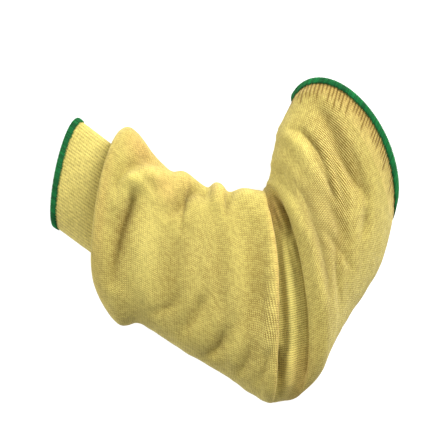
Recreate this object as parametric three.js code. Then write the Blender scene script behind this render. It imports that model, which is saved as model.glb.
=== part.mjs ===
import * as THREE from 'three';

// Driving sizes, mm
const REACH = 165; // crook of the elbow to the wrist end
const BEND_DEPTH = 90; // crook of the elbow to the middle of the bend
const WRIST_WIDTH = 92;
const BODY_WIDTH = 150;
const MOUTH_WIDTH = 132;
const WRIST_LOFT = 31; // height that the cloth stands open
const BODY_LOFT = 58;
const MOUTH_LOFT = 46;
const WALL = 2;
const BINDING_WIDTH = 5.2; // along the cloth
const BINDING_LEAF = 0.9; // thickness over the cloth
const SEAM = 0.3; // gap between neighbouring pieces
const RIM_CLEARANCE = 0.05; // between a binding and the surface below
const FOLD_RISE = 4; // height of a common fold
const FOLD_SPREAD = 5; // half width of a common fold

// How the underside is pressed flat
const FLATTENING = 0.62;
const FULLNESS = 0.8;

// Fineness of the mesh
const AROUND = 34;
const FOLD_POINTS = 20;

// Heights in walls at which both rims lie on the surface
const RIM_LIFT = (BINDING_LEAF + SEAM + RIM_CLEARANCE) / WALL;

// Sections of the sleeve from the wrist rim to the upper arm rim.
// x is a share of REACH, y of BEND_DEPTH, turn is in degrees. Size says whose width and loft the
// shares in width, loft, top and low are taken of: 0 wrist, 1 body, 2 mouth, or between them.
// Lift is in walls. Top and low bow the upper and lower wall forward in their middle, and lean
// is the part of the bow by which they also move to the inside of the bend.
const SECTION = [
  'name', 'x', 'y', 'turn', 'size', 'width', 'loft', 'lift', 'top', 'low', 'lean', 'steps',
];
const SLEEVE = [
  ['wrist rim', -1.028, 0.183, 77.4, 0, 0.997, 1.000, RIM_LIFT, -0.092, -0.040, -0.45, 3],
  ['cuff', -0.932, 0.053, 78.4, 0, 0.998, 1.000, 2.20, -0.085, -0.033, -0.3, 3],
  ['cuff inside', -0.840, -0.071, 78.3, 0, 0.990, 1.000, 4.40, -0.065, -0.022, -0.1, 3],
  ['cuff seam', -0.748, -0.187, 78.5, 0, 0.970, 1.000, 5.40, -0.043, -0.011, 0, 2],
  ['turn in', -0.727, -0.195, 78.6, 0.2, 0.867, 0.863, 5.30, -0.039, -0.010, 0, 2],
  ['turn', -0.711, -0.201, 79.0, 0.4, 0.823, 0.868, 4.10, -0.035, -0.010, 0, 2],
  ['turn back', -0.727, -0.195, 79.6, 0.6, 0.789, 0.877, 2.80, -0.036, -0.012, 0, 2],
  ['funnel', -0.780, -0.190, 80.4, 0.8, 0.775, 0.831, 2.65, -0.055, -0.023, 0, 2],
  ['under lip', -0.800, -0.178, 81.0, 1, 0.800, 0.810, 2.30, -0.068, -0.035, 0, 2],
  ['lip', -0.797, -0.182, 81.9, 1, 0.900, 0.914, 1.10, -0.078, -0.045, 0, 2],
  ['shoulder', -0.762, -0.250, 84.0, 1, 1.030, 0.985, 0.10, -0.066, -0.045, 0, 2],
  ['puff', -0.710, -0.338, 86.0, 1, 1.090, 1.000, 0, -0.047, -0.047, 0, 2],
  ['forearm 1', -0.640, -0.390, 87.4, 1, 1.005, 1.000, 0, -0.020, -0.033, 0, 2],
  ['forearm 2', -0.572, -0.498, 88.2, 1, 0.950, 0.970, 0, 0, -0.013, 0, 2],
  ['forearm 3', -0.487, -0.614, 90.3, 1, 0.964, 0.950, 0, 0.013, 0, 0, 2],
  ['forearm 4', -0.410, -0.667, 92.2, 1, 1.028, 0.970, 0, 0.020, 0, 0, 2],
  ['forearm 5', -0.332, -0.757, 93.4, 1, 1.035, 0.950, 0, 0.027, 0, 0, 2],
  ['forearm 6', -0.268, -0.828, 94.3, 1, 1.041, 0.950, 0, 0.027, 0, 0, 2],
  ['forearm 7', -0.203, -0.856, 94.9, 1, 1.122, 0.970, 0, 0.033, 0, 0, 2],
  ['forearm 8', -0.149, -0.932, 94.6, 1, 1.121, 0.960, 0, 0.040, 0, 0, 2],
  ['forearm 9', -0.085, -0.947, 93.6, 1, 1.166, 0.990, 0, 0.040, 0, 0, 2],
  ['forearm 10', -0.033, -0.975, 92.2, 1, 1.177, 1.010, 0, 0.043, 0, 0, 2],
  ['pleat edge', -0.006, -0.987, 92.2, 1, 1.185, 0.980, 0, 0.060, 0.003, 0, 2],
  ['tuck', 0.012, -0.985, 92.8, 1, 1.195, 0.840, 0, 0.010, 0.007, 0, 2],
  ['elbow valley', 0.037, -0.970, 94.4, 1, 1.202, 0.800, 0, 0.080, 0.013, 0, 2],
  ['second tuck', 0.066, -0.948, 96.4, 1, 1.212, 0.880, 0, 0.150, 0.020, 0, 2],
  ['second edge', 0.087, -0.908, 98.3, 1, 1.202, 1.000, 0, 0.128, 0.023, 0, 2],
  ['arm 1', 0.125, -0.822, 101.5, 1, 1.175, 1.050, 0, 0.153, 0.033, 0, 2],
  ['arm 2', 0.155, -0.693, 104.6, 1, 1.123, 1.050, 0, 0.140, 0.040, 0, 2],
  ['arm 3', 0.192, -0.535, 108.5, 1, 1.078, 1.020, 0, 0.121, 0.040, 0.4, 2],
  ['arm 4', 0.237, -0.354, 113.0, 1, 1.051, 0.980, 0, 0.138, 0.040, 0.7, 2],
  ['arm 5', 0.284, -0.187, 118.0, 1.25, 1.062, 0.981, 0, 0.170, 0.030, 0.8, 2],
  ['arm 6', 0.335, -0.018, 122.0, 1.6, 1.073, 0.993, 0.20, 0.210, 0.015, 0.8, 2],
  ['band seam', 0.371, 0.152, 125.8, 2, 1.062, 1.034, 0.45, 0.260, 0, 0.75, 2],
  ['band', 0.3840, 0.250, 127.8, 2, 1.015, 1.017, 0.55, 0.290, 0.020, 0.6, 1],
  ['arm rim', 0.3925, 0.357, 129.3, 2, 0.984, 1.000, RIM_LIFT, 0.306, 0.045, 0.42, 1],
];

// Folds in the upper wall, each along three places.
// A place is a row of the table above and a share of the way from the inside of the bend
// to its outside. Rise is a share of FOLD_RISE, spread of FOLD_SPREAD.
const FOLD = ['name', 'row 1', 'share 1', 'row 2', 'share 2', 'row 3', 'share 3', 'rise', 'spread'];
const FOLDS = [
  ['behind the lip', 11.7, 0.30, 11.3, 0.46, 10.7, 0.79, -1.40, 1.2],
  ['lip crease', 11.2, 0.22, 10.95, 0.30, 10.8, 0.36, -1.00, 0.6],
  ['lip ridge', 11.0, 0.38, 11.6, 0.21, 13.6, 0.04, 1.00, 1.2],
  ['peak hollow', 12.6, 0.02, 11.8, 0.12, 11.2, 0.26, -1.00, 1.6],
  ['bump hollow', 16.2, 0.03, 14.8, 0.16, 13.8, 0.26, -0.90, 1.0],
  ['bump ridge', 15.0, 0.02, 14.1, 0.08, 13.3, 0.22, 0.50, 1.2],
  ['first notch', 17.0, 0.01, 16.6, 0.05, 16.2, 0.11, -0.60, 0.8],
  ['second bump', 18.0, 0.01, 17.7, 0.05, 17.2, 0.10, 0.50, 0.8],
  ['second notch', 18.9, 0.01, 18.5, 0.07, 18.1, 0.15, -0.75, 0.7],
  ['broad hollow', 20.1, 0.12, 19.8, 0.43, 18.3, 0.76, -0.60, 2.0],
  ['edge roll', 22.0, 0.11, 21.5, 0.46, 20.8, 0.75, 0.50, 1.0],
  ['low crease 1', 15.7, 0.65, 15.2, 0.77, 14.6, 0.90, -0.75, 1.2],
  ['low crease 2', 17.2, 0.76, 16.6, 0.88, 15.9, 0.96, -0.90, 1.0],
  ['low crease 3', 19.3, 0.76, 18.7, 0.88, 18.0, 0.96, -0.60, 1.0],
  ['long ridge', 12.9, 0.38, 12.4, 0.63, 12.5, 0.86, 0.75, 2.0],
  ['long hollow', 14.6, 0.35, 13.8, 0.63, 13.7, 0.87, -0.50, 1.8],
  ['arm crease', 30.8, 0.08, 30.8, 0.26, 30.5, 0.51, -1.20, 0.9],
  ['arm ridge', 30.4, 0.05, 30.2, 0.22, 30.1, 0.49, 0.75, 1.4],
  ['arm hollow', 32.6, 0.20, 31.8, 0.42, 31.6, 0.69, -1.00, 1.6],
  ['second arm hollow', 30.1, 0.43, 30.1, 0.58, 30.0, 0.73, -0.75, 1.4],
  ['side hollow', 31.7, 0.76, 31.4, 0.80, 31.1, 0.82, -0.50, 0.8],
  ['crook fold', 24.4, 0.05, 24.6, 0.15, 24.5, 0.25, -1.00, 0.6],
  ['crook ridge', 26.3, 0.08, 26.7, 0.20, 26.7, 0.32, 0.75, 1.0],
  ['heel fold', 23.1, 0.74, 23.3, 0.80, 23.3, 0.88, -1.00, 0.8],
  ['heel ridge', 24.1, 0.77, 23.9, 0.86, 23.9, 0.97, 0.75, 0.8],
];

const radians = (degrees) => degrees * Math.PI / 180;
const clamp = (t) => Math.min(Math.max(t, 0), 1);
const ease = (t) => clamp(t) * clamp(t) * (3 - 2 * clamp(t));
const mix = (a, b, t) => a + (b - a) * t;
const rowOf = (name) => SLEEVE.findIndex((row) => row[0] === name);

// A size between wrist, body and mouth
function between(sizes, place) {
  const i = Math.min(Math.floor(place), sizes.length - 2);
  return mix(sizes[i], sizes[i + 1], place - i);
}

// The table in mm and degrees
const ROWS = SLEEVE.map((values) => {
  const row = Object.fromEntries(SECTION.map((name, i) => [name, values[i]]));
  const width = between([WRIST_WIDTH, BODY_WIDTH, MOUTH_WIDTH], row.size);
  const loft = between([WRIST_LOFT, BODY_LOFT, MOUTH_LOFT], row.size);
  return [
    row.x * REACH,
    row.y * BEND_DEPTH,
    row.turn,
    row.width * width,
    row.loft * loft,
    row.lift * WALL,
    row.top * width,
    row.low * width,
    row.lean,
  ];
});

// Smooth curve through the rows
const KNOTS = [0];
for (let i = 1; i < ROWS.length; i++) {
  const step = ROWS[i].map((value, c) => Math.abs(value - ROWS[i - 1][c]));
  const length = Math.hypot(step[0], step[1]) + step[3] / 2 + step[4] + step[6];
  KNOTS.push(KNOTS[i - 1] + Math.sqrt(length + 0.001));
}

function slope(i, c) {
  const rate = (j) => (ROWS[j + 1][c] - ROWS[j][c]) / (KNOTS[j + 1] - KNOTS[j]);
  if (i === 0) return rate(0);
  if (i === ROWS.length - 1) return rate(i - 1);
  const before = KNOTS[i] - KNOTS[i - 1];
  const after = KNOTS[i + 1] - KNOTS[i];
  return (rate(i - 1) * after + rate(i) * before) / (before + after);
}

const SLOPES = ROWS.map((row, i) => row.map((value, c) => slope(i, c)));

function section(at) {
  const i = Math.min(Math.floor(at), ROWS.length - 2);
  const t = at - i;
  const h = KNOTS[i + 1] - KNOTS[i];
  return ROWS[i].map((value, c) => {
    const start = (2 * t ** 3 - 3 * t ** 2 + 1) * value;
    const leaving = (t ** 3 - 2 * t ** 2 + t) * h * SLOPES[i][c];
    const end = (-2 * t ** 3 + 3 * t ** 2) * ROWS[i + 1][c];
    const arriving = (t ** 3 - t ** 2) * h * SLOPES[i + 1][c];
    return start + leaving + end + arriving;
  });
}

// A height that goes softly to the surface below and stays there
function softFloor(z) {
  const e = 0.04;
  if (z > e) return z;
  return z < -e ? 0 : (z + e) ** 2 / (4 * e);
}

// Middle of the cloth at a row and an angle round the section
function cloth(at, angle) {
  const [x, y, turn, width, loft, lift, top, low, lean] = section(at);
  const u = Math.cos(angle);
  const w = Math.sin(angle);
  const a = radians(turn);
  const swell = Math.abs(w) ** FULLNESS;
  const bow = w > 0 ? top * w : -low * w;
  const across = u * width / 2 + bow * lean;
  const share = w > 0 ? 0.5 + 0.5 * swell : softFloor(0.5 - FLATTENING * swell);
  return new THREE.Vector3(
    x + Math.cos(a) * across + Math.sin(a) * bow,
    y + Math.sin(a) * across - Math.cos(a) * bow,
    WALL / 2 + Math.max(lift, 0) + (loft - WALL) * share,
  );
}

// Points along a fold through its three places
const PATHS = FOLDS.map((values) => {
  const fold = Object.fromEntries(FOLD.map((name, i) => [name, values[i]]));
  const through = (name, t) => {
    const [a, b, c] = [1, 2, 3].map((i) => fold[name + ' ' + i]);
    return a * (1 - t) * (1 - 2 * t) + b * 4 * t * (1 - t) + c * t * (2 * t - 1);
  };
  const points = [];
  for (let i = 0; i < FOLD_POINTS; i++) {
    const t = i / (FOLD_POINTS - 1);
    points.push(cloth(through('row', t), Math.acos(1 - 2 * clamp(through('share', t)))));
  }
  return { points, rise: fold.rise * FOLD_RISE, spread: fold.spread * FOLD_SPREAD };
});

// Height of all folds at a point of the cloth
function relief(point) {
  let height = 0;
  for (const { points, rise, spread } of PATHS) {
    let nearest = Infinity;
    let place = 0;
    for (let i = 0; i < points.length - 1; i++) {
      const way = points[i + 1].clone().sub(points[i]);
      const t = clamp(point.clone().sub(points[i]).dot(way) / way.lengthSq());
      const distance = point.distanceTo(points[i].clone().addScaledVector(way, t));
      if (distance < nearest) {
        nearest = distance;
        place = (i + t) / (points.length - 1);
      }
    }
    const fade = Math.sqrt(Math.sin(Math.PI * (0.9 * place + 0.05)));
    height += rise * Math.exp(-((nearest / spread) ** 2)) * fade;
  }
  return height;
}

// Side of the cloth that faces out, from its neighbours
function facing(grid, s, j) {
  const before = grid[Math.max(s - 1, 0)][j];
  const after = grid[Math.min(s + 1, grid.length - 1)][j];
  const left = grid[s][(j + AROUND - 1) % AROUND];
  const right = grid[s][(j + 1) % AROUND];
  return right.clone().sub(left).cross(after.clone().sub(before)).normalize();
}

// Whole sleeve as one grid of points, row by row
const PLACES = [];
SLEEVE.forEach((row, i) => {
  const steps = i < SLEEVE.length - 1 ? row[SECTION.indexOf('steps')] : 1;
  for (let k = 0; k < steps; k++) PLACES.push(i + k / steps);
});
const ANGLES = Array.from({ length: AROUND }, (unused, j) => 2 * Math.PI * j / AROUND);
const PLAIN = PLACES.map((at) => ANGLES.map((angle) => cloth(at, angle)));
const FOLDED = PLAIN.map((ring, s) => ring.map((point, j) => {
  const along = ease(PLACES[s] - rowOf('lip')) * ease(rowOf('band seam') - PLACES[s]);
  const above = ease((Math.sin(ANGLES[j]) + 0.6) / 0.4);
  if (along * above === 0) return point.clone();
  return point.clone().addScaledVector(facing(PLAIN, s, j), relief(point) * along * above);
}));

// Direction in the cloth across its edge, towards the upper arm
function onward(s, j) {
  const left = FOLDED[s][(j + AROUND - 1) % AROUND];
  const right = FOLDED[s][(j + 1) % AROUND];
  return facing(FOLDED, s, j).cross(right.clone().sub(left)).normalize();
}

// Line of the cloth beside a rim where its binding ends
function hem(s, out) {
  const depth = BINDING_WIDTH - BINDING_LEAF - SEAM;
  return FOLDED[s].map((edge, j) => {
    const inward = FOLDED[s - out][j].clone().sub(edge);
    return edge.clone().addScaledVector(inward, -depth / inward.dot(onward(s, j)) / out);
  });
}
const LAST = FOLDED.length - 1;
const HEMS = [hem(0, -1), hem(LAST, 1)];
FOLDED.splice(LAST, 0, HEMS[1]);
FOLDED.splice(1, 0, HEMS[0]);
PLACES.splice(LAST, 0, PLACES[LAST] - 0.1);
PLACES.splice(1, 0, 0.1);
const FACING = FOLDED.map((ring, s) => ring.map((point, j) => facing(FOLDED, s, j)));

// Closed body from rings of points; each ring is joined to the next and the last to the first.
// Every four points are split the short way, measured on the middle of the cloth. Rings on the
// same line of the cloth are split from the upper one, so that facing edges match.
function joined(rings, name, material) {
  const positions = rings.flatMap(({ points }) => points).flatMap((point) => point.toArray());
  const faces = [];
  rings.forEach(({ base, off }, r) => {
    const next = (r + 1) % rings.length;
    const onto = rings[next].base;
    for (let j = 0; j < AROUND; j++) {
      const k = (j + 1) % AROUND;
      const [a, b] = [r * AROUND + j, r * AROUND + k];
      const [c, d] = [next * AROUND + j, next * AROUND + k];
      const short = onto === base ? off >= rings[next].off
        : base[j].distanceTo(onto[k]) < base[k].distanceTo(onto[j]);
      faces.push(...(short ? [a, b, d, a, d, c] : [a, b, c, b, d, c]));
    }
  });
  const geometry = new THREE.BufferGeometry();
  geometry.setAttribute('position', new THREE.Float32BufferAttribute(positions, 3));
  geometry.setIndex(faces);
  geometry.computeVertexNormals();
  const mesh = new THREE.Mesh(geometry, material);
  mesh.name = name;
  return mesh;
}

// Cloth wall between two rows of the table, short by half a seam where it meets its neighbour
function wall(from, to, name, material) {
  const first = PLACES.indexOf(rowOf(from));
  const last = PLACES.indexOf(rowOf(to));
  const side = (sign) => {
    const rings = [];
    for (let s = first; s <= last; s++) {
      const shift = (s === first && s > 0 ? SEAM / 2 : 0)
        - (s === last && s < PLACES.length - 1 ? SEAM / 2 : 0);
      const points = FOLDED[s].map((point, j) => point.clone()
        .addScaledVector(onward(s, j), shift)
        .addScaledVector(FACING[s][j], sign * WALL / 2));
      rings.push({ points, base: FOLDED[s], off: sign });
    }
    return rings;
  };
  return joined([...side(1), ...side(-1).reverse()], name, material);
}

// Binding that wraps an edge of the cloth: a bent strip on both sides of it
function binding(row, name, material) {
  const s = PLACES.indexOf(rowOf(row));
  const out = s === 0 ? -1 : 1;
  const slot = WALL / 2 + SEAM;
  const skin = slot + BINDING_LEAF;
  const end = SEAM + BINDING_LEAF;
  const start = end - BINDING_WIDTH;
  const profile = [
    [start, skin],
    [end - 0.7 * BINDING_LEAF, skin],
    [end, slot],
    [end, -slot],
    [end - 0.7 * BINDING_LEAF, -skin],
    [start, -skin],
    [start, -slot],
    [SEAM, -slot],
    [SEAM, slot],
    [start, slot],
  ];
  const rings = profile.map(([along, off]) => {
    const on = along === start ? s - out : s;
    const ahead = along === start ? 0 : out * along;
    const points = FOLDED[on].map((point, j) => point.clone()
      .addScaledVector(onward(on, j), ahead)
      .addScaledVector(FACING[on][j], off));
    return { points, base: FOLDED[on], off };
  });
  return joined(out > 0 ? rings : rings.reverse(), name, material);
}

const yarn = (color, roughness) => new THREE.MeshStandardMaterial({
  color,
  roughness,
  metalness: 0,
});

const sleeve = new THREE.Group();
sleeve.name = 'cut_resistant_sleeve';
sleeve.add(
  binding('wrist rim', 'wrist_binding', yarn(0x14703a, 0.8)),
  wall('wrist rim', 'cuff seam', 'wrist_cuff', yarn(0xcdb660, 0.9)),
  wall('cuff seam', 'band seam', 'sleeve_body', yarn(0xc9b15c, 0.9)),
  wall('band seam', 'arm rim', 'upper_arm_band', yarn(0xc4ab58, 0.9)),
  binding('arm rim', 'upper_arm_binding', yarn(0x14703a, 0.8)),
);

// Stand the sleeve over the origin
const middle = new THREE.Box3().setFromObject(sleeve).getCenter(new THREE.Vector3());
sleeve.children.forEach((mesh) => mesh.geometry.translate(-middle.x, -middle.y, 0));

export default sleeve;
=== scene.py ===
import math

import bpy
import numpy as np
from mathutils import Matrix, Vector


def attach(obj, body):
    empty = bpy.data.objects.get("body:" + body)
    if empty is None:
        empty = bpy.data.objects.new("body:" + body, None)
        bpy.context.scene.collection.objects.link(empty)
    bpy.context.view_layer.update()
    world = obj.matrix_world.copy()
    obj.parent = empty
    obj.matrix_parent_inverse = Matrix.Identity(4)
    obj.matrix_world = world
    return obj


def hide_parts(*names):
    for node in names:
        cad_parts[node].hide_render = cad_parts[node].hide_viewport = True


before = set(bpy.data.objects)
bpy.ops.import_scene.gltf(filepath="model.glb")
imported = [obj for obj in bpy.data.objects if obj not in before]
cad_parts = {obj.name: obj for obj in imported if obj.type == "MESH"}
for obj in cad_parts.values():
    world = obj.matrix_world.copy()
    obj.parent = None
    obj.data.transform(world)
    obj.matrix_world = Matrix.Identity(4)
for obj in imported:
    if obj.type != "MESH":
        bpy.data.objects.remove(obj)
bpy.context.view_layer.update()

# Sizes, mm
REACH = 165
BEND_DEPTH = 90
WRIST_WIDTH = 92
BODY_WIDTH = 150
MOUTH_WIDTH = 132
WRIST_LOFT = 31
BODY_LOFT = 58
MOUTH_LOFT = 46
WALL = 2
BINDING_WIDTH = 5.2
BINDING_LEAF = 0.9
SEAM = 0.3
RIM_CLEARANCE = 0.05
FOLD_RISE = 4
FOLD_SPREAD = 5

# The plain form
FLATTENING = 0.62
FULLNESS = 0.8
FLOOR_BLEND = 0.04
RIM_LIFT = (BINDING_LEAF + SEAM + RIM_CLEARANCE) / WALL
LEAST_LENGTH = 0.001

# How much deeper the folds are than in the plain form
DEEPER = 0.45

# Where the sections' origin stands in the frame, mm
SHIFT = np.array([35.470, 41.151, 0.0])

# Stitches: wales and ribs round the sleeve, and the height of a course in mm
WALES = 210
CUFF_RIBS = 76
BAND_RIBS = WALES // 2
COURSE = 1.9
CUFF_RIB_DEPTH = 0.28
BAND_RIB_DEPTH = 0.45

# How far the look of the band goes from its rim, and the depth of a hollow at which its painted
# shade is full, mm
BAND_REACH = 27.0
FULL_SHADE_DEPTH = 8.0

# Waves of the uneven knit: wales and courses that one takes up, height in mm
LONG_WAVES = (14, 7, 0.35)
SMALL_WAVES = (6, 4, 0.16)
GRAIN = (2, 2, 0.05)

# Threads of the edges and the strip under them, mm
THREAD = 0.50
THREAD_PITCH = 1.12
THREAD_SLANT = 0.75
STRIP = 0.35

# Counts of points
FOLD_POINTS = 20
FINE_ANGLES = 1441
CHAIN_POINTS = 1401
NOISE_ROWS = 400
BODY_COLUMNS = 168
RIB_COLUMNS = 6
EDGE_POINTS = 336
THREAD_SIDES = 6
THREAD_STEPS = 13

# Looks of the knit, with its painted warm shade, painted lighter tone and painted shade between
# the yarns
WARM_SHADE_STRENGTH = 0.75
OPEN_GAP_SHADE = 1.0
SPECKLE = 0.26
WARM_SHADE_YELLOW = (0.80, 0.50, 0.15)
OPEN_PAINTED_LIGHT_YELLOW = (0.95, 0.81, 0.27)
GAP_SHADE_BROWN = (0.20, 0.125, 0.020)

# Picture: its side in pixels, mm for each pixel, and the pixel of the sections' origin
PICTURE = 444
PIXEL = 0.85
ORIGIN_PIXEL = (266, 192)

# Camera over the sleeve's middle height, floor and lights: metres and watts
DISTANCE = 2.4
HALF_HEIGHT = 0.025
FLOOR_HALF = 3.0
LIGHTS = [("key", (0.62, 0.78, 0.58), 0.65, 25.2), ("side", (-1.3, 0.35, 0.7), 0.9, 17.0)]

# Sections from the wrist rim to the upper arm rim: name, x, y, turn, size, width, loft, lift,
# top bow, low bow, lean
SLEEVE = [
    ["wrist rim", -1.028, 0.183, 77.4, 0, 0.997, 1.000, RIM_LIFT, -0.092, -0.040, -0.45],
    ["cuff", -0.932, 0.053, 78.4, 0, 0.998, 1.000, 2.20, -0.085, -0.033, -0.3],
    ["cuff inside", -0.840, -0.071, 78.3, 0, 0.990, 1.000, 4.40, -0.065, -0.022, -0.1],
    ["cuff seam", -0.748, -0.187, 78.5, 0, 0.970, 1.000, 5.40, -0.043, -0.011, 0],
    ["turn in", -0.727, -0.195, 78.6, 0.2, 0.867, 0.863, 5.30, -0.039, -0.010, 0],
    ["turn", -0.711, -0.201, 79.0, 0.4, 0.823, 0.868, 4.10, -0.035, -0.010, 0],
    ["turn back", -0.727, -0.195, 79.6, 0.6, 0.789, 0.877, 2.80, -0.036, -0.012, 0],
    ["funnel", -0.780, -0.190, 80.4, 0.8, 0.775, 0.831, 2.65, -0.055, -0.023, 0],
    ["under lip", -0.800, -0.178, 81.0, 1, 0.800, 0.810, 2.30, -0.068, -0.035, 0],
    ["lip", -0.797, -0.182, 81.9, 1, 0.900, 0.914, 1.10, -0.078, -0.045, 0],
    ["shoulder", -0.762, -0.250, 84.0, 1, 1.030, 0.985, 0.10, -0.066, -0.045, 0],
    ["puff", -0.710, -0.338, 86.0, 1, 1.090, 1.000, 0, -0.047, -0.047, 0],
    ["forearm 1", -0.640, -0.390, 87.4, 1, 1.005, 1.000, 0, -0.020, -0.033, 0],
    ["forearm 2", -0.572, -0.498, 88.2, 1, 0.950, 0.970, 0, 0, -0.013, 0],
    ["forearm 3", -0.487, -0.614, 90.3, 1, 0.964, 0.950, 0, 0.013, 0, 0],
    ["forearm 4", -0.410, -0.667, 92.2, 1, 1.028, 0.970, 0, 0.020, 0, 0],
    ["forearm 5", -0.332, -0.757, 93.4, 1, 1.035, 0.950, 0, 0.027, 0, 0],
    ["forearm 6", -0.268, -0.828, 94.3, 1, 1.041, 0.950, 0, 0.027, 0, 0],
    ["forearm 7", -0.203, -0.856, 94.9, 1, 1.122, 0.970, 0, 0.033, 0, 0],
    ["forearm 8", -0.149, -0.932, 94.6, 1, 1.121, 0.960, 0, 0.040, 0, 0],
    ["forearm 9", -0.085, -0.947, 93.6, 1, 1.166, 0.990, 0, 0.040, 0, 0],
    ["forearm 10", -0.033, -0.975, 92.2, 1, 1.177, 1.010, 0, 0.043, 0, 0],
    ["pleat edge", -0.006, -0.987, 92.2, 1, 1.185, 0.980, 0, 0.060, 0.003, 0],
    ["tuck", 0.012, -0.985, 92.8, 1, 1.195, 0.840, 0, 0.010, 0.007, 0],
    ["elbow valley", 0.037, -0.970, 94.4, 1, 1.202, 0.800, 0, 0.080, 0.013, 0],
    ["second tuck", 0.066, -0.948, 96.4, 1, 1.212, 0.880, 0, 0.150, 0.020, 0],
    ["second edge", 0.087, -0.908, 98.3, 1, 1.202, 1.000, 0, 0.128, 0.023, 0],
    ["arm 1", 0.125, -0.822, 101.5, 1, 1.175, 1.050, 0, 0.153, 0.033, 0],
    ["arm 2", 0.155, -0.693, 104.6, 1, 1.123, 1.050, 0, 0.140, 0.040, 0],
    ["arm 3", 0.192, -0.535, 108.5, 1, 1.078, 1.020, 0, 0.121, 0.040, 0.4],
    ["arm 4", 0.237, -0.354, 113.0, 1, 1.051, 0.980, 0, 0.138, 0.040, 0.7],
    ["arm 5", 0.284, -0.187, 118.0, 1.25, 1.062, 0.981, 0, 0.170, 0.030, 0.8],
    ["arm 6", 0.335, -0.018, 122.0, 1.6, 1.073, 0.993, 0.20, 0.210, 0.015, 0.8],
    ["band seam", 0.371, 0.152, 125.8, 2, 1.062, 1.034, 0.45, 0.260, 0, 0.75],
    ["band", 0.3840, 0.250, 127.8, 2, 1.015, 1.017, 0.55, 0.290, 0.020, 0.6],
    ["arm rim", 0.3925, 0.357, 129.3, 2, 0.984, 1.000, RIM_LIFT, 0.306, 0.045, 0.42],
]

# Folds in the upper wall: name, three places as row and share across, rise, spread
FOLDS = [
    ["behind the lip", 11.7, 0.30, 11.3, 0.46, 10.7, 0.79, -1.40, 1.2],
    ["lip crease", 11.2, 0.22, 10.95, 0.30, 10.8, 0.36, -1.00, 0.6],
    ["lip ridge", 11.0, 0.38, 11.6, 0.21, 13.6, 0.04, 1.00, 1.2],
    ["peak hollow", 12.6, 0.02, 11.8, 0.12, 11.2, 0.26, -1.00, 1.6],
    ["bump hollow", 16.2, 0.03, 14.8, 0.16, 13.8, 0.26, -0.90, 1.0],
    ["bump ridge", 15.0, 0.02, 14.1, 0.08, 13.3, 0.22, 0.50, 1.2],
    ["first notch", 17.0, 0.01, 16.6, 0.05, 16.2, 0.11, -0.60, 0.8],
    ["second bump", 18.0, 0.01, 17.7, 0.05, 17.2, 0.10, 0.50, 0.8],
    ["second notch", 18.9, 0.01, 18.5, 0.07, 18.1, 0.15, -0.75, 0.7],
    ["broad hollow", 20.1, 0.12, 19.8, 0.43, 18.3, 0.76, -0.60, 2.0],
    ["edge roll", 22.0, 0.11, 21.5, 0.46, 20.8, 0.75, 0.50, 1.0],
    ["low crease 1", 15.7, 0.65, 15.2, 0.77, 14.6, 0.90, -0.75, 1.2],
    ["low crease 2", 17.2, 0.76, 16.6, 0.88, 15.9, 0.96, -0.90, 1.0],
    ["low crease 3", 19.3, 0.76, 18.7, 0.88, 18.0, 0.96, -0.60, 1.0],
    ["long ridge", 12.9, 0.38, 12.4, 0.63, 12.5, 0.86, 0.75, 2.0],
    ["long hollow", 14.6, 0.35, 13.8, 0.63, 13.7, 0.87, -0.50, 1.8],
    ["arm crease", 30.8, 0.08, 30.8, 0.26, 30.5, 0.51, -1.20, 0.9],
    ["arm ridge", 30.4, 0.05, 30.2, 0.22, 30.1, 0.49, 0.75, 1.4],
    ["arm hollow", 32.6, 0.20, 31.8, 0.42, 31.6, 0.69, -1.00, 1.6],
    ["second arm hollow", 30.1, 0.43, 30.1, 0.58, 30.0, 0.73, -0.75, 1.4],
    ["side hollow", 31.7, 0.76, 31.4, 0.80, 31.1, 0.82, -0.50, 0.8],
    ["crook fold", 24.4, 0.05, 24.6, 0.15, 24.5, 0.25, -1.00, 0.6],
    ["crook ridge", 26.3, 0.08, 26.7, 0.20, 26.7, 0.32, 0.75, 1.0],
    ["heel fold", 23.1, 0.74, 23.3, 0.80, 23.3, 0.88, -1.00, 0.8],
    ["heel ridge", 24.1, 0.77, 23.9, 0.86, 23.9, 0.97, 0.75, 0.8],
]

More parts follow.
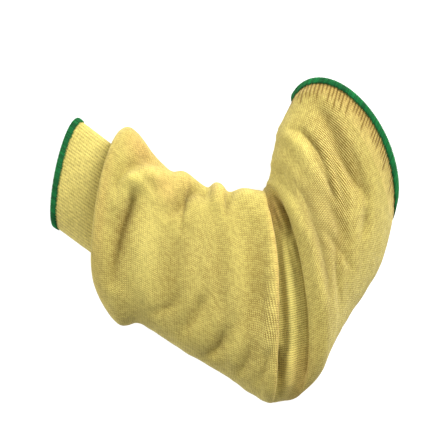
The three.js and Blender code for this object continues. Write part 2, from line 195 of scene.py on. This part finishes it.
# Finer creases, written as the folds are
CREASES = [
    ["valley right", 25.1, 0.10, 25.1, 0.50, 25.1, 0.88, -0.80, 0.4],
    ["crook ridge lowered", 26.3, 0.08, 26.7, 0.20, 26.7, 0.32, -0.50, 1.0],
    ["tuck line", 22.8, 0.08, 22.8, 0.50, 22.8, 0.92, -1.10, 0.35],
    ["valley middle", 24.1, 0.22, 24.1, 0.60, 24.1, 0.92, 1.40, 0.8],
    ["tongue", 24.2, 0.04, 24.4, 0.18, 24.7, 0.40, 0.90, 0.5],
    ["tongue gap", 23.3, 0.07, 23.4, 0.15, 23.5, 0.24, -0.80, 0.35],
    ["lip fold", 11.0, 0.26, 11.6, 0.22, 12.8, 0.24, 0.70, 0.8],
    ["lip line", 11.5, 0.32, 11.3, 0.50, 10.9, 0.72, -0.20, 1.0],
    ["hip ridge", 12.55, 0.19, 13.85, 0.045, 15.05, 0.01, 0.50, 1.0],
    ["peak filled", 11.5, 0.08, 11.85, 0.095, 12.2, 0.11, 0.60, 1.2],
    ["hip filled", 12.5, 0.125, 12.75, 0.13, 13, 0.15, 0.55, 0.8],
    ["crease top filled", 11.75, 0.225, 11.7, 0.26, 11.65, 0.29, 0.60, 0.8],
    ["hook", 10.6, 0.33, 10.62, 0.285, 10.9, 0.24, -0.80, 0.5],
    ["curl", 10.95, 0.35, 11, 0.285, 11.4, 0.215, 0.90, 0.65],
    ["bump line", 15.7, 0.04, 15.0, 0.16, 14.5, 0.32, -0.80, 0.5],
    ["bump side", 16.6, 0.06, 15.9, 0.16, 15.5, 0.30, 0.45, 0.8],
    ["arm crease filled", 30.8, 0.08, 30.8, 0.26, 30.5, 0.51, 0.90, 0.9],
    ["arm ridge lowered", 30.4, 0.05, 30.2, 0.22, 30.1, 0.49, -0.45, 1.4],
    ["arm edge 1", 30.4, 0.27, 30.45, 0.44, 30.6, 0.635, -0.75, 0.5],
    ["arm edge 2", 31.55, 0.39, 31.65, 0.585, 31.85, 0.745, -0.55, 0.5],
    ["arm edge 3", 29.15, 0.48, 29.65, 0.67, 30.1, 0.85, -0.55, 0.6],
    ["arm line 1", 30.9, 0.14, 30.9, 0.30, 30.6, 0.48, -0.50, 0.4],
    ["arm line 2", 31.3, 0.40, 31.0, 0.52, 30.8, 0.66, -0.70, 0.5],
    ["arm line 3", 28.8, 0.24, 28.3, 0.45, 28.0, 0.66, -0.60, 0.9],
    ["arm line 4", 27.3, 0.30, 27.0, 0.48, 26.8, 0.68, 0.55, 0.9],
    ["arm line 5", 32.3, 0.52, 32.1, 0.64, 31.9, 0.76, -0.50, 0.6],
    ["arm line 6", 29.6, 0.62, 29.3, 0.74, 29.0, 0.86, -0.50, 0.7],
    ["low line 1", 13.0, 0.90, 13.8, 0.80, 14.3, 0.68, -0.60, 0.9],
    ["low line 2", 21.0, 0.76, 20.6, 0.86, 20.0, 0.94, -0.60, 0.7],
    ["low line 3", 18.6, 0.70, 18.0, 0.80, 17.4, 0.92, 0.50, 0.7],
    ["broad line", 17.5, 0.28, 17.0, 0.50, 16.9, 0.68, -0.50, 1.3],
    ["broad ridge", 18.9, 0.28, 18.5, 0.50, 18.2, 0.68, 0.45, 1.3],
    ["edge line", 21.2, 0.14, 20.9, 0.40, 20.3, 0.66, -0.35, 0.8],
]

# Spots of the cloth, each as row, share across, reach along, reach across, strength:
# painted warm shade in the folds, stretched open with a painted lighter tone, and with its wales
# showing as lines of painted shade
WARM_SHADE = [
    (11.8, 0.03, 1.2, 0.10, 0.9),
    (13.6, 0.12, 0.9, 0.10, 0.6),
    (15.0, 0.05, 0.8, 0.07, 0.5),
    (17.9, 0.03, 0.6, 0.06, 0.4),
    (22.2, 0.45, 0.5, 0.40, 0.9),
    (23.6, 0.10, 1.2, 0.10, 0.9),
    (25.0, 0.90, 1.2, 0.14, 0.6),
    (34.6, 0.30, 1.2, 0.45, 0.8),
    (9.5, 0.45, 0.6, 0.5, 0.4),
]
OPEN_AND_LIT = [
    (21.3, 0.55, 0.9, 0.24, 0.4),
    (20.4, 0.68, 1.8, 0.18, 0.4),
    (24.0, 0.60, 0.9, 0.34, 0.15),
    (31.9, 0.40, 1.3, 0.24, 1.0),
    (30.2, 0.52, 1.2, 0.26, 0.9),
    (28.4, 0.52, 1.3, 0.28, 0.8),
    (28.0, 0.30, 1.2, 0.20, 0.6),
    (12.3, 0.55, 1.6, 0.22, 0.2),
    (16.5, 0.45, 2.0, 0.22, 0.30),
]
LINED = [(24.0, 0.60, 1.1, 0.42, 1.0)]


def row_of(name):
    return [row[0] for row in SLEEVE].index(name)


CUFF_SEAM, LIP, BAND_SEAM = row_of("cuff seam"), row_of("lip"), row_of("band seam")
LAST = len(SLEEVE) - 1


def between(sizes, place):
    i = min(int(place), len(sizes) - 2)
    return sizes[i] + (sizes[i + 1] - sizes[i]) * (place - i)


def rows_in_mm():
    out = []
    for _, x, y, turn, size, width, loft, lift, top, low, lean in SLEEVE:
        w = between([WRIST_WIDTH, BODY_WIDTH, MOUTH_WIDTH], size)
        h = between([WRIST_LOFT, BODY_LOFT, MOUTH_LOFT], size)
        out.append([x * REACH, y * BEND_DEPTH, turn, width * w, loft * h, lift * WALL,
                    top * w, low * w, lean])
    return np.array(out, float)


ROWS = rows_in_mm()


def knots_and_slopes(rows):
    step = np.abs(np.diff(rows, axis=0))
    length = np.hypot(step[:, 0], step[:, 1]) + step[:, 3] / 2 + step[:, 4] + step[:, 6]
    knots = np.concatenate([[0], np.cumsum(np.sqrt(length + LEAST_LENGTH))])
    gap = np.diff(knots)[:, None]
    rate = np.diff(rows, axis=0) / gap
    slopes = np.empty_like(rows)
    slopes[0], slopes[-1] = rate[0], rate[-1]
    slopes[1:-1] = (rate[:-1] * gap[1:] + rate[1:] * gap[:-1]) / (gap[1:] + gap[:-1])
    return knots, slopes


KNOTS, SLOPES = knots_and_slopes(ROWS)


def section(at):
    """Columns of the table at any place between rows."""
    at = np.asarray(at, float)
    i = np.clip(at.astype(int), 0, LAST - 1)
    t = (at - i)[..., None]
    h = (KNOTS[i + 1] - KNOTS[i])[..., None]
    return ((2 * t**3 - 3 * t**2 + 1) * ROWS[i] + (t**3 - 2 * t**2 + t) * h * SLOPES[i]
            + (-2 * t**3 + 3 * t**2) * ROWS[i + 1] + (t**3 - t**2) * h * SLOPES[i + 1])


def soft_floor(z):
    """z where it is above 0 and else 0, rounded between them."""
    e = FLOOR_BLEND
    return np.where(z > e, z, np.where(z < -e, 0, (z + e) ** 2 / (4 * e)))


def cloth(at, angle):
    """Middle of the cloth at a row and an angle round the section, in mm."""
    x, y, turn, width, loft, lift, top, low, lean = np.moveaxis(section(at), -1, 0)
    u, w = np.cos(angle), np.sin(angle)
    a = np.radians(turn)
    swell = np.abs(w) ** FULLNESS
    bow = np.where(w > 0, top * w, -low * w)
    across = u * width / 2 + bow * lean
    share = np.where(w > 0, 0.5 + 0.5 * swell, soft_floor(0.5 - FLATTENING * swell))
    return np.stack([
        x + np.cos(a) * across + np.sin(a) * bow,
        y + np.sin(a) * across - np.cos(a) * bow,
        WALL / 2 + np.maximum(lift, 0) + (loft - WALL) * share,
    ], -1)


def ease(t):
    t = np.clip(t, 0, 1)
    return t * t * (3 - 2 * t)


def raised(angles, level, span):
    """0 where the section is lower than level, and rising to 1 over span."""
    return ease((np.sin(angles) - level) / span)


def unit(vectors):
    return vectors / np.linalg.norm(vectors, axis=-1, keepdims=True)


def way_along(points):
    """Length of the way along points, up to each of them."""
    return np.concatenate([[0], np.cumsum(np.linalg.norm(np.diff(points, axis=0), axis=1))])


def fold_path(fold):
    t = np.linspace(0, 1, FOLD_POINTS)
    weights = np.stack([(1 - t) * (1 - 2 * t), 4 * t * (1 - t), t * (2 * t - 1)])
    row = np.array(fold[1:7:2]) @ weights
    share = np.clip(np.array(fold[2:7:2]) @ weights, 0, 1)
    return cloth(row, np.arccos(1 - 2 * share))


def relief(points, folds):
    """Height of the folds at points of the cloth."""
    height = np.zeros(points.shape[:-1])
    for fold in folds:
        rise, spread = fold[7] * FOLD_RISE, fold[8] * FOLD_SPREAD
        path = fold_path(fold)
        near = np.full(height.shape, np.inf)
        place = np.zeros(height.shape)
        for i in range(FOLD_POINTS - 1):
            way = path[i + 1] - path[i]
            t = np.clip(((points - path[i]) @ way) / (way @ way), 0, 1)
            d = np.linalg.norm(points - path[i] - t[..., None] * way, axis=-1)
            closer = d < near
            near = np.where(closer, d, near)
            place = np.where(closer, (i + t) / (FOLD_POINTS - 1), place)
        # lower towards both ends of the fold
        fade = np.sqrt(np.sin(np.pi * (0.9 * place + 0.05)))
        height += rise * np.exp(-((near / spread) ** 2)) * fade
    return height


def facing(grid):
    """Outward side of the cloth on a grid of [place, around]."""
    along = np.gradient(grid, axis=0)
    around = np.roll(grid, -1, axis=1) - np.roll(grid, 1, axis=1)
    return unit(np.cross(around, along))


def even_angles(places, count):
    """Angles that part each section into equal lengths of cloth."""
    fine = np.linspace(0, 2 * np.pi, FINE_ANGLES)
    out = []
    for at in places:
        run = way_along(cloth(np.full(fine.shape, at), fine))
        out.append(np.interp(np.arange(count) / count * run[-1], run, fine))
    return np.array(out)


def places_between(first, last, per_row):
    return np.linspace(first, last, int(round((last - first) * per_row)) + 1)


random = np.random.default_rng(11)


def value_noise(u, v, period_u):
    """Smooth noise, periodic in u."""
    table = random.standard_normal((period_u, NOISE_ROWS))
    iu, iv = np.floor(u).astype(int), np.floor(v).astype(int)
    fu, fv = ease(u - iu), ease(v - iv)
    a = table[iu % period_u, iv % NOISE_ROWS]
    b = table[(iu + 1) % period_u, iv % NOISE_ROWS]
    c = table[iu % period_u, (iv + 1) % NOISE_ROWS]
    d = table[(iu + 1) % period_u, (iv + 1) % NOISE_ROWS]
    return (a * (1 - fu) + b * fu) * (1 - fv) + (c * (1 - fu) + d * fu) * fv


def waves(wale, course, size):
    wales, courses, height = size
    return height * value_noise(wale / wales, course / courses, WALES // wales)


# Courses of stitches counted along the middle of the upper wall
CHAIN_AT = np.linspace(0, LAST, CHAIN_POINTS)
COURSES = way_along(cloth(CHAIN_AT, np.full(CHAIN_AT.shape, np.pi / 2))) / COURSE


def spots(table, places, angles):
    share = (1 - np.cos(angles)) / 2
    top = raised(angles, -0.4, 0.4)
    out = np.zeros(angles.shape)
    for row, across, along_reach, across_reach, strength in table:
        d = ((places[:, None] - row) / along_reach) ** 2 + ((share - across) / across_reach) ** 2
        out += strength * np.exp(-d) * top
    return np.clip(out, 0, 1)


def folded(places, count):
    """Folded cloth in mm: its angles, courses, grid, facing, hollows as the strength of their
    painted shade, and nearness to the rim.
    """
    angles = even_angles(places, count)
    at = np.repeat(places[:, None], count, 1)
    plain = cloth(at, angles)
    out = facing(plain)
    along = ease(at - LIP) * ease(BAND_SEAM - at)
    upper = raised(angles, 0.2, 0.4)
    height = relief(plain, FOLDS) * (1 + DEEPER * upper) + relief(plain, CREASES) * upper
    height = height * along * raised(angles, -0.6, 0.4)
    grid = plain + out * height[..., None]
    # fine unevenness of the knit, less where the band holds it
    wale = np.arange(count)[None, :] / count * WALES
    course = np.interp(at, CHAIN_AT, COURSES)
    loose = ease(at - LIP) * ease((BAND_SEAM - at) / 1.5)
    bumps = waves(wale, course, LONG_WAVES) + waves(wale, course, SMALL_WAVES)
    bumps = bumps * loose + waves(wale, course, GRAIN)
    grid = grid + out * (bumps * raised(angles, -0.55, 0.5))[..., None]
    rim = cloth(np.full(count, float(LAST)), even_angles([float(LAST)], count)[0])
    band = np.clip(1 - np.linalg.norm(grid - rim, axis=-1) / BAND_REACH, 0, 1)
    return angles, course, grid, facing(grid), -height / FULL_SHADE_DEPTH, band


def cells(rows, count):
    """Corners of the cells between rows of points that run round, as four arrays."""
    row, j = np.meshgrid(np.arange(rows), np.arange(count), indexing="ij")
    row, j = row.ravel(), j.ravel()
    k = (j + 1) % count
    return row * count + j, row * count + k, (row + 1) * count + k, (row + 1) * count + j


def mesh_object(name, verts, faces, material, attributes, uv=None, rims=None):
    """verts in mm; rims marks the vertices where the cloth ends in a sharp edge."""
    mesh = bpy.data.meshes.new(name)
    verts = (np.asarray(verts) + SHIFT) / 1000
    mesh.vertices.add(len(verts))
    mesh.vertices.foreach_set("co", verts.ravel())
    n, k = faces.shape
    mesh.loops.add(n * k)
    mesh.loops.foreach_set("vertex_index", faces.ravel())
    mesh.polygons.add(n)
    mesh.polygons.foreach_set("loop_start", np.arange(n) * k)
    mesh.polygons.foreach_set("loop_total", np.full(n, k))
    mesh.update(calc_edges=True)
    mesh.polygons.foreach_set("use_smooth", np.ones(n, bool))
    if rims is not None:
        ends = np.empty(len(mesh.edges) * 2, int)
        mesh.edges.foreach_get("vertices", ends)
        group = rims[ends.reshape(-1, 2)]
        sharp = (group[:, 0] > 0) & (group[:, 0] == group[:, 1])
        mesh.attributes.new("sharp_edge", "BOOLEAN", "EDGE").data.foreach_set("value", sharp)
    if uv is not None:
        mesh.uv_layers.new(name="stitches").data.foreach_set("uv", np.asarray(uv, float).ravel())
    for key, values in attributes:
        mesh.attributes.new(key, "FLOAT", "POINT").data.foreach_set("value", values.ravel())
    mesh.validate()
    mesh.materials.append(material)
    piece = bpy.data.objects.new(name, mesh)
    bpy.context.scene.collection.objects.link(piece)
    return piece


def on_both(values):
    """Values for the points of the outer and of the inner side."""
    return np.concatenate([values.ravel()] * 2)


def on_outer(values):
    return np.concatenate([values.ravel(), np.zeros(values.size)])


def cloth_wall(name, first, last, per_row, count, ribs, node, material):
    """Closed wall of cloth between two rows, ribbed where ribs is given."""
    places = places_between(first, last, per_row)
    angles, course, grid, out, hollow, band = folded(places, count)
    thick = np.full(angles.shape, WALL / 2)
    rib = np.zeros(angles.shape)
    if ribs:
        turns, depth, fade = ribs
        turn = np.arange(count) / count * turns
        per_rib = random.uniform(0.0, 1.0, turns)[np.floor(turn).astype(int) % turns]
        rib = (0.5 - 0.5 * np.cos(2 * np.pi * turn))[None, :] * fade(places, per_rib)
        thick = thick - depth * rib
    outer, inner = grid + out * thick[..., None], grid - out * (WALL / 2)
    verts = np.concatenate([outer.reshape(-1, 3), inner.reshape(-1, 3)])
    half = len(places) * count
    end = half - count
    a, b, c, d = cells(len(places) - 1, count)
    wall = np.stack([a, b, c, d], 1)
    lining = np.stack([d, c, b, a], 1) + half
    j = np.arange(count)
    k = (j + 1) % count
    front = np.stack([j + half, k + half, k, j], 1)
    back = np.stack([end + j, end + k, end + k + half, end + j + half], 1)
    faces = np.concatenate([wall, lining, front, back])
    # stitch counts at every corner, going on past the last wale
    column = faces % half % count
    jumped = (column.max(1) - column.min(1) > count / 2)[:, None] & (column == 0)
    u = np.where(jumped, count, column) * (WALES / count)
    v = course.ravel()[faces % half]
    # painted light and shade carried on the points: warm shade, lighter stretched places, shaded
    # wale lines and shaded hollows
    attributes = [("warm", on_both(spots(WARM_SHADE, places, angles))),
                  ("open", on_both(spots(OPEN_AND_LIT, places, angles))),
                  ("lined", on_both(spots(LINED, places, angles))),
                  ("rib", on_outer(rib)), ("hollow", on_outer(hollow)), ("band", on_outer(band))]
    rims = np.zeros(2 * half, int)
    for mark, start in enumerate((0, end, half, half + end), 1):
        rims[start:start + count] = mark
    piece = mesh_object(name, verts, faces, material, attributes, np.stack([u, v], -1), rims)
    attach(piece, "root")
    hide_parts(node)
    return piece


def tube(centre, radius, guide):
    """Points round the middle line of a thread, closer to it at both ends."""
    tangent = unit(np.gradient(centre, axis=0))
    side = unit(np.cross(tangent, guide))
    other = np.cross(tangent, side)
    phi = np.arange(THREAD_SIDES) / THREAD_SIDES * 2 * np.pi
    ring = (np.cos(phi)[None, :, None] * side[:, None]
            + np.sin(phi)[None, :, None] * other[:, None])
    taper = np.ones(THREAD_STEPS)
    taper[0] = taper[-1] = 0.55
    return (centre[:, None] + ring * (radius * taper)[:, None, None]).reshape(-1, 3)


def tube_faces():
    a, b, c, d = cells(THREAD_STEPS - 1, THREAD_SIDES)
    cap = np.array([[0, 1, 2, 3], [0, 3, 4, 5]])
    end = (THREAD_STEPS - 1) * THREAD_SIDES
    return np.concatenate([np.stack([a, d, c, b], 1), cap, cap[:, ::-1] + end])


def overlock(name, out_sign, node, material):
    """Threads wound round the edge of the cloth, over a thin strip."""
    count = EDGE_POINTS
    rim_row = 0.0 if out_sign < 0 else float(LAST)
    hem_row, near_row = rim_row - out_sign * 0.5, rim_row - out_sign * 0.02
    angles, hem_angles = even_angles([rim_row, hem_row], count)
    rim = cloth(np.full(count, rim_row), angles)
    way = cloth(np.full(count, hem_row), hem_angles) - rim
    inward = cloth(np.full(count, near_row), angles) - rim
    around = unit(np.roll(rim, -1, 0) - np.roll(rim, 1, 0))
    normal = unit(np.cross(around, inward) * -out_sign)
    outward = unit(np.cross(normal, around) * out_sign)
    depth = BINDING_WIDTH - BINDING_LEAF - SEAM
    hem = rim + way * (depth / np.abs((way * outward).sum(1)))[:, None]

    def place(t, along, off):
        """Point beside the rim: t counts round it, along and off are in mm."""
        t = np.asarray(t, float) % count
        i = np.floor(t).astype(int) % count
        k = (i + 1) % count
        f = (t - np.floor(t))[..., None]
        at = rim[i] * (1 - f) + rim[k] * f
        up = normal[i] * (1 - f) + normal[k] * f
        ahead = outward[i] * (1 - f) + outward[k] * f
        back = (hem[i] - rim[i]) * (1 - f) + (hem[k] - rim[k]) * f
        along = np.asarray(along)[..., None]
        over = np.where(along > 0, ahead * along, back * (-along / depth))
        return at + over + up * np.asarray(off)[..., None]

    run = np.linalg.norm(np.roll(rim, -1, 0) - rim, axis=1)
    total = run.sum()
    length = np.concatenate([[0], np.cumsum(run)])

    # section of the strip under the threads: way past the rim and height over the cloth
    skin = WALL / 2 + SEAM + STRIP
    inside = -depth + 0.3
    profile = [(-depth, skin), (-1.0, skin), (0.4, skin * 0.8), (0.75, 0.0),
               (0.4, -skin * 0.8), (-1.0, -skin), (inside, -skin), (inside, -WALL / 2),
               (-0.2, -WALL / 2), (0.1, 0.0), (-0.2, WALL / 2), (inside, WALL / 2)]
    t = np.arange(count, dtype=float)
    done = len(profile) * count
    verts = [place(t, np.full(count, along), np.full(count, off)) for along, off in profile]
    faces = [np.stack(cells(len(profile), count), 1) % done]
    tint = [np.full(done, 0.2)]

    # loops of thread: s runs from -1 on the upper side, round the edge, to 1 on the lower side,
    # bend draws a loop back over the hem and nose carries it past the rim
    loops = int(round(total / THREAD_PITCH))
    one_loop = tube_faces()
    s = np.linspace(0, 1, THREAD_STEPS) * 2 - 1
    bend = np.clip(np.abs(s) * 2.2 - 1.2, 0, 1)
    nose = 1 - np.clip(np.abs(s) / 0.545, 0, 1) ** 2.2
    for n in range(loops):
        start = (n + random.uniform(-0.12, 0.12)) * total / loops
        reach = depth + random.uniform(0.2, 1.3)
        low_reach = depth + random.uniform(0.2, 1.3)
        radius = THREAD * random.uniform(0.93, 1.06)
        top = WALL / 2 + SEAM + BINDING_LEAF - radius
        along = np.where(s < 0, -reach * bend, -low_reach * bend)
        along = along + (SEAM + BINDING_LEAF - radius) * nose
        off = np.where(s < 0, 1, -1) * top * np.clip(np.abs(s) / 0.4, 0, 1) ** 0.6
        off = off * (1 - 0.16 * bend**3)
        t = np.interp((start + s * THREAD_SLANT) % total, length, np.arange(count + 1))
        guide = around[int(t[THREAD_STEPS // 2]) % count]
        verts.append(tube(place(t, along, off), radius, guide))
        faces.append(one_loop + done)
        tint.append(np.full(len(verts[-1]), random.uniform(0, 1)))
        done += len(verts[-1])
    piece = mesh_object(name, np.concatenate(verts), np.concatenate(faces), material,
                        [("tint", np.concatenate(tint))])
    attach(piece, "root")
    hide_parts(node)
    return piece


class Nodes:
    """Short way to write a material's nodes."""

    def __init__(self, name):
        self.material = bpy.data.materials.new(name)
        self.material.use_nodes = True
        self.tree = self.material.node_tree
        self.shader = self.tree.nodes["Principled BSDF"]

    def value(self, socket, x):
        if isinstance(x, (int, float)):
            socket.default_value = x
        elif isinstance(x, tuple):
            socket.default_value = x if len(x) == len(socket.default_value) else (*x, 1)
        else:
            self.tree.links.new(x, socket)

    def surface(self, inputs):
        for key, x in inputs.items():
            self.value(self.shader.inputs[key], x)
        return self.material

    def node(self, kind, out=0, inputs=(), **settings):
        n = self.tree.nodes.new(kind)
        for key, x in settings.items():
            setattr(n, key, x)
        for key, x in dict(inputs).items():
            self.value(n.inputs[key], x)
        return n.outputs[out]

    def math(self, op, a, b=0.0, c=0.0):
        return self.node("ShaderNodeMath", 0, {0: a, 1: b, 2: c}, operation=op)

    def times(self, a, b):
        return self.math("MULTIPLY", a, b)

    def minus(self, a, b):
        return self.math("SUBTRACT", a, b)

    def times_plus(self, a, b, c):
        return self.math("MULTIPLY_ADD", a, b, c)

    def mix(self, f, a, b):
        n = self.tree.nodes.new("ShaderNodeMix")
        n.data_type = "RGBA"
        self.value(n.inputs[0], f)
        self.value(n.inputs[6], a)
        self.value(n.inputs[7], b)
        return n.outputs[2]

    def attribute(self, name):
        return self.node("ShaderNodeAttribute", "Fac", attribute_name=name)

    def noise(self, vector, scale, detail=2.0, roughness=0.5):
        return self.node("ShaderNodeTexNoise", "Fac",
                         {"Vector": vector, "Scale": scale, "Detail": detail,
                          "Roughness": roughness})

    def white_noise(self, dimensions, key, x):
        return self.node("ShaderNodeTexWhiteNoise", "Value", {key: x},
                         noise_dimensions=dimensions)

    def bump(self, strength, distance, height):
        return self.node("ShaderNodeBump", 0,
                         {"Strength": strength, "Distance": distance, "Height": height})


def knit(name, light, deep, yarn_gap_shade, rib_groove_shade):
    """Plain knit: every stitch is two slanting legs of yarn."""
    n = Nodes(name)
    uv = n.node("ShaderNodeUVMap", 0, uv_map="stitches")
    x, y = (n.node("ShaderNodeSeparateXYZ", i, {0: uv}) for i in (0, 1))
    place = n.node("ShaderNodeTexCoord", "Object")
    x = n.times_plus(n.minus(n.noise(place, 260.0), 0.5), 0.30, x)
    y = n.times_plus(n.minus(n.noise(place, 310.0), 0.5), 0.40, y)
    wide = n.math("ABSOLUTE", n.times_plus(n.math("FRACT", x), 2.0, -1.0))
    one = n.math("POWER", n.math("COSINE", n.times(wide, math.pi / 2)), 0.7)
    two = n.math("SINE", n.times(wide, math.pi))
    leg = n.times_plus(two, 0.40, n.times_plus(one, 0.5, 0.10))
    stretched_and_lit, rib, warm, lined, hollow, band = (
        n.attribute(key) for key in ("open", "rib", "warm", "lined", "hollow", "band"))
    # legs lie more to one side where the cloth is stretched
    slope = n.times_plus(wide, 0.85, y)
    leaning = n.times_plus(wide, 0.33, n.times_plus(x, -1 / 7, y))
    even, uneven = (n.math("COSINE", n.times(w, 2 * math.pi)) for w in (slope, leaning))
    row = n.times_plus(n.minus(n.times(uneven, 1.2), even), stretched_and_lit, even)
    height = n.times(leg, n.times_plus(row, 0.36, 0.64))
    # ribs beside the rim of the upper arm, of uneven length, with painted shade in their grooves
    pair = n.times(x, 0.5)
    ragged = n.white_noise("1D", "W", n.math("FLOOR", pair))
    long = n.times_plus(ragged, 0.5, n.minus(band, 0.62))
    long = n.node("ShaderNodeClamp", 0, {0: n.times(long, 6.0)})
    line = n.math("POWER", n.math("SINE", n.times(n.math("FRACT", pair), math.pi)), 2.5)
    line = n.times(line, long)
    # every stitch a little lighter or darker than the next
    cell = n.node("ShaderNodeCombineXYZ", 0, {0: n.math("FLOOR", x), 1: n.math("FLOOR", slope)})
    speck = n.white_noise("2D", "Vector", cell)
    patch = n.noise(place, 26.0, 3.0, 0.6)
    fuzz = n.noise(place, 900.0, 2.0, 0.6)
    base = n.mix(n.times_plus(patch, 1.4, -0.2), deep, light)
    # painted warm shade: the orange of light bounced within the folds and on their shaded sides
    base = n.mix(n.times(warm, WARM_SHADE_STRENGTH), base, WARM_SHADE_YELLOW)
    # stretched places are painted lighter, a painted lighter tone standing in for the stronger
    # light there
    base = n.mix(n.times(stretched_and_lit, 0.6), base, OPEN_PAINTED_LIGHT_YELLOW)
    # painted shade: how deep a place lies between the yarns, and how strongly each part of it
    # counts: rib grooves, wales shown as lines and hollows of the folds darker, the band darker
    # towards the rim, specks and fuzz at random
    wale_line = n.times(lined, n.minus(n.math("POWER", wide, 2.5), 0.45))
    gap = n.times(n.minus(1.0, height), n.times_plus(stretched_and_lit, OPEN_GAP_SHADE, yarn_gap_shade))
    parts = [(stretched_and_lit, -0.25 * OPEN_GAP_SHADE), (rib, rib_groove_shade), (wale_line, 0.55), (band, 0.24),
             (line, 0.62), (hollow, 0.34), (n.minus(speck, 0.5), SPECKLE),
             (n.minus(fuzz, 0.5), 0.14)]
    for part, strength in parts:
        gap = n.times_plus(part, strength, gap)
    gap = n.node("ShaderNodeClamp", 0, {0: gap})
    raised_yarn = n.times_plus(fuzz, 0.25, n.times_plus(line, -0.7, height))
    return n.surface({
        "Base Color": n.mix(gap, base, GAP_SHADE_BROWN),
        "Roughness": 0.86,
        "Sheen Weight": 0.22,
        "Sheen Roughness": 0.45,
        "Sheen Tint": (1.0, 0.93, 0.66),
        "Specular IOR Level": 0.25,
        "Normal": n.bump(0.8, 0.0006, raised_yarn),
    })


def thread(name):
    """Green sewing thread, a little fuzzy, its shade set for each loop by the tint."""
    n = Nodes(name)
    fuzz = n.noise(n.node("ShaderNodeTexCoord", "Object"), 1500.0, 2.0, 0.6)
    base = n.mix(n.attribute("tint"), (0.002, 0.070, 0.015), (0.006, 0.195, 0.043))
    return n.surface({
        "Base Color": n.mix(n.times(fuzz, 0.4), base, (0.002, 0.045, 0.012)),
        "Roughness": 0.6,
        "Specular IOR Level": 0.2,
        "Normal": n.bump(0.5, 0.0002, fuzz),
    })


def cuff_ribs(places, per_rib):
    return np.full((len(places), len(per_rib)), 0.85)


def band_ribs(places, per_rib):
    return ease((places - BAND_SEAM) / 1.2)[:, None] * (0.55 + 0.45 * per_rib)[None, :]


# one yarn in all three; the cuff's colours are lighter than the body's, in part as painted light
# that lifts the shade cast on it by the fold beside the lip
body_knit = knit("aramid_knit", (0.775, 0.665, 0.180), (0.655, 0.555, 0.133), 0.88, 0.0)
cuff_knit = knit("aramid_rib", (0.95, 0.815, 0.235), (0.885, 0.75, 0.195), 0.60, 0.31)
band_knit = knit("aramid_band", (0.80, 0.655, 0.195), (0.69, 0.555, 0.15), 0.66, 0.10)
green = thread("overlock_thread")

cuff = cloth_wall("wrist_cuff_knit", 0, CUFF_SEAM, 9, CUFF_RIBS * RIB_COLUMNS,
                  (CUFF_RIBS, CUFF_RIB_DEPTH, cuff_ribs), "wrist_cuff", cuff_knit)
body = cloth_wall("sleeve_body_knit", CUFF_SEAM, BAND_SEAM, 8, BODY_COLUMNS,
                  None, "sleeve_body", body_knit)
band = cloth_wall("upper_arm_band_knit", BAND_SEAM, LAST, 12, BAND_RIBS * RIB_COLUMNS,
                  (BAND_RIBS, BAND_RIB_DEPTH, band_ribs), "upper_arm_band", band_knit)
wrist_edge = overlock("wrist_overlock", -1, "wrist_binding", green)
arm_edge = overlock("upper_arm_overlock", 1, "upper_arm_binding", green)


def floor():
    half = FLOOR_HALF
    mesh = bpy.data.meshes.new("floor")
    mesh.from_pydata([(-half, -half, 0), (half, -half, 0), (half, half, 0), (-half, half, 0)],
                     [], [(0, 1, 2, 3)])
    piece = bpy.data.objects.new("floor", mesh)
    bpy.context.scene.collection.objects.link(piece)
    mesh.materials.append(Nodes("white_floor").surface({
        "Base Color": (0.35, 0.35, 0.35),
        "Roughness": 0.9,
        "Emission Color": (1.0, 1.0, 1.0),
        "Emission Strength": 0.85,
    }))


def area_light(name, place, size, power):
    data = bpy.data.lights.new(name, "AREA")
    data.size = size
    data.energy = power
    lamp = bpy.data.objects.new(name, data)
    lamp.location = place
    lamp.rotation_euler = (-Vector(place)).to_track_quat("-Z", "Y").to_euler()
    bpy.context.scene.collection.objects.link(lamp)


def camera_above():
    """Camera straight above the middle of the picture."""
    x, y = (PICTURE / 2 - origin for origin in ORIGIN_PIXEL)
    data = bpy.data.cameras.new("camera")
    data.lens = data.sensor_width * DISTANCE / (PICTURE * PIXEL / 1000)
    camera = bpy.data.objects.new("camera", data)
    camera.location = ((x * PIXEL + SHIFT[0]) / 1000, (-y * PIXEL + SHIFT[1]) / 1000,
                       DISTANCE + HALF_HEIGHT)
    bpy.context.scene.collection.objects.link(camera)
    bpy.context.scene.camera = camera


floor()
for light in LIGHTS:
    area_light(*light)
camera_above()
world = bpy.data.worlds.new("studio")
world.use_nodes = True
background = world.node_tree.nodes["Background"]
background.inputs["Color"].default_value = (1, 1, 1, 1)
background.inputs["Strength"].default_value = 0.46
bpy.context.scene.world = world
bpy.context.scene.view_settings.view_transform = "Standard"
